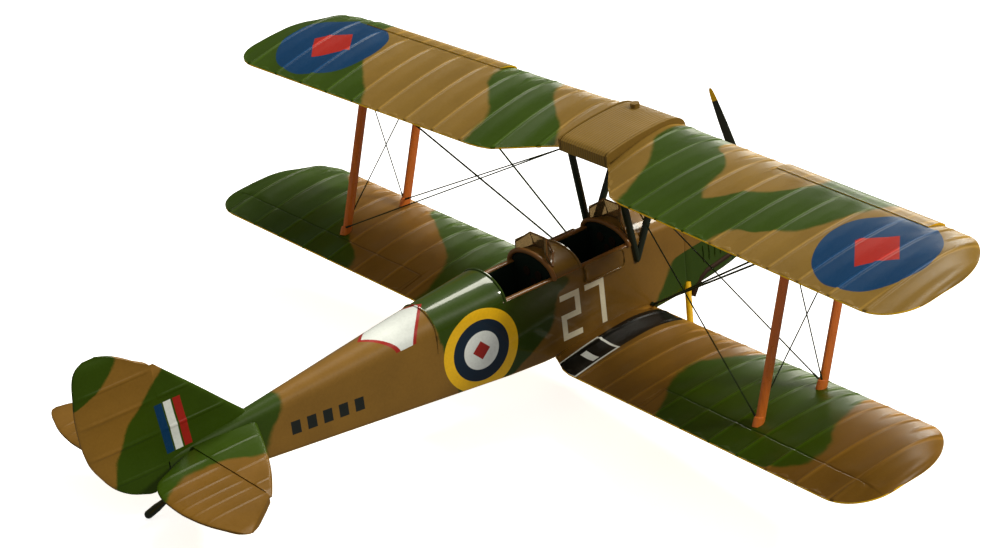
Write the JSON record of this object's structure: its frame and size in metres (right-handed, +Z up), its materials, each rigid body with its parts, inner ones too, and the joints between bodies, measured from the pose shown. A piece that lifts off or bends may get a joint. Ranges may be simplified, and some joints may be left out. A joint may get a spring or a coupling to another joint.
{
  "type": "biplane scale model",
  "caption": "Display model of an open-cockpit trainer biplane with wire-braced wings, a spinning propeller, rolling wheels and a stand socket in its belly.",
  "frame": {"origin": "centre of the model's overall box on the surface it stands on", "axes": "the nose points along -Y, +X is towards the left wing tip and +Z is up; the model stands on its wheels and tail skid, so its own long axis is tipped back"},
  "size_m": [0.1242, 0.1032, 0.0368],
  "materials": {
    "upper_wing_paint": "satin camouflage in dark earth and dark green over cast metal, yellow underneath",
    "tank_paint": "satin dark earth",
    "lower_wing_paint": "satin camouflage in dark earth and dark green, yellow underneath",
    "fuselage_paint": "satin camouflage in dark earth and dark green, yellow underneath",
    "cowl_paint": "satin camouflage",
    "exhaust_dark": "matt burnt brown",
    "cockpit_green": "matt very dark green",
    "cockpit_black": "matt black",
    "seat_brown": "matt brown",
    "windscreen_clear": "thin clear moulding with painted frame",
    "strut_wood_tone": "glossy orange-brown, moulded in a wood tone",
    "cabane_dark": "satin near-black green",
    "rigging_dark": "thin dark thread",
    "tail_paint": "satin camouflage",
    "undercarriage_yellow": "satin trainer yellow",
    "cap_metal": "dull metal",
    "wheel_paint": "satin yellow disc",
    "tyre_black": "matt black rubber",
    "bush_brass": "plain brass",
    "boss_metal": "dull silver",
    "propeller_dark": "satin black with yellow tips",
    "socket_dark": "matt dark"
  },
  "bodies": {
    "airframe": {"fuselage_left": "fuselage_paint", "fuselage_right": "fuselage_paint", "engine_cowl": "cowl_paint", "cooling_scoop": "cowl_paint", "exhaust_pipe": "exhaust_dark", "cockpit_floor": "cockpit_green", "instrument_panel_front": "cockpit_black", "instrument_panel_rear": "cockpit_black", "seat_front": "seat_brown", "seat_rear": "seat_brown", "control_stick_front": "cockpit_black", "control_stick_rear": "cockpit_black", "windscreen_front": "windscreen_clear", "windscreen_rear": "windscreen_clear", "door_left": "fuselage_paint", "door_right": "fuselage_paint", "upper_wing_left": "upper_wing_paint", "upper_wing_right": "upper_wing_paint", "slat_left": "upper_wing_paint", "slat_right": "upper_wing_paint", "fuel_tank": "tank_paint", "filler_cap": "tank_paint", "lower_wing_left": "lower_wing_paint", "lower_wing_right": "lower_wing_paint", "strut_front_left": "strut_wood_tone", "strut_rear_left": "strut_wood_tone", "strut_front_right": "strut_wood_tone", "strut_rear_right": "strut_wood_tone", "cabane_left": "cabane_dark", "cabane_right": "cabane_dark", "flying_wires": "rigging_dark", "landing_wires": "rigging_dark", "incidence_wires": "rigging_dark", "tailplane_left": "tail_paint", "tailplane_right": "tail_paint", "elevator_left": "tail_paint", "elevator_right": "tail_paint", "fin": "tail_paint", "rudder": "tail_paint", "tailplane_stays": "cabane_dark", "tail_skid": "cabane_dark", "leg_left": "undercarriage_yellow", "leg_right": "undercarriage_yellow", "axle_strut_left": "undercarriage_yellow", "axle_strut_right": "undercarriage_yellow", "axle_cap_left": "cap_metal", "axle_cap_right": "cap_metal", "nose_bush": "bush_brass", "stand_socket": "socket_dark"},
    "propeller": {"propeller": "propeller_dark", "propeller_boss": "boss_metal", "propeller_shaft": "boss_metal"},
    "wheel_left": {"wheel_left": "wheel_paint", "tyre_left": "tyre_black"},
    "wheel_right": {"wheel_right": "wheel_paint", "tyre_right": "tyre_black"}
  },
  "joints": [
    {"name": "propeller_spin", "type": "hinge", "parent": "airframe", "child": "propeller", "pos_m": [0, -0.04929, 0.0231], "axis": [0, 0.9849, -0.1734], "continuous": true},
    {"name": "wheel_left_spin", "type": "hinge", "parent": "airframe", "child": "wheel_left", "pos_m": [0.0111, -0.03286, 0.00335], "axis": [1, 0, 0], "continuous": true},
    {"name": "wheel_right_spin", "type": "hinge", "parent": "airframe", "child": "wheel_right", "pos_m": [-0.0111, -0.03286, 0.00335], "axis": [1, 0, 0], "continuous": true}
  ]
}
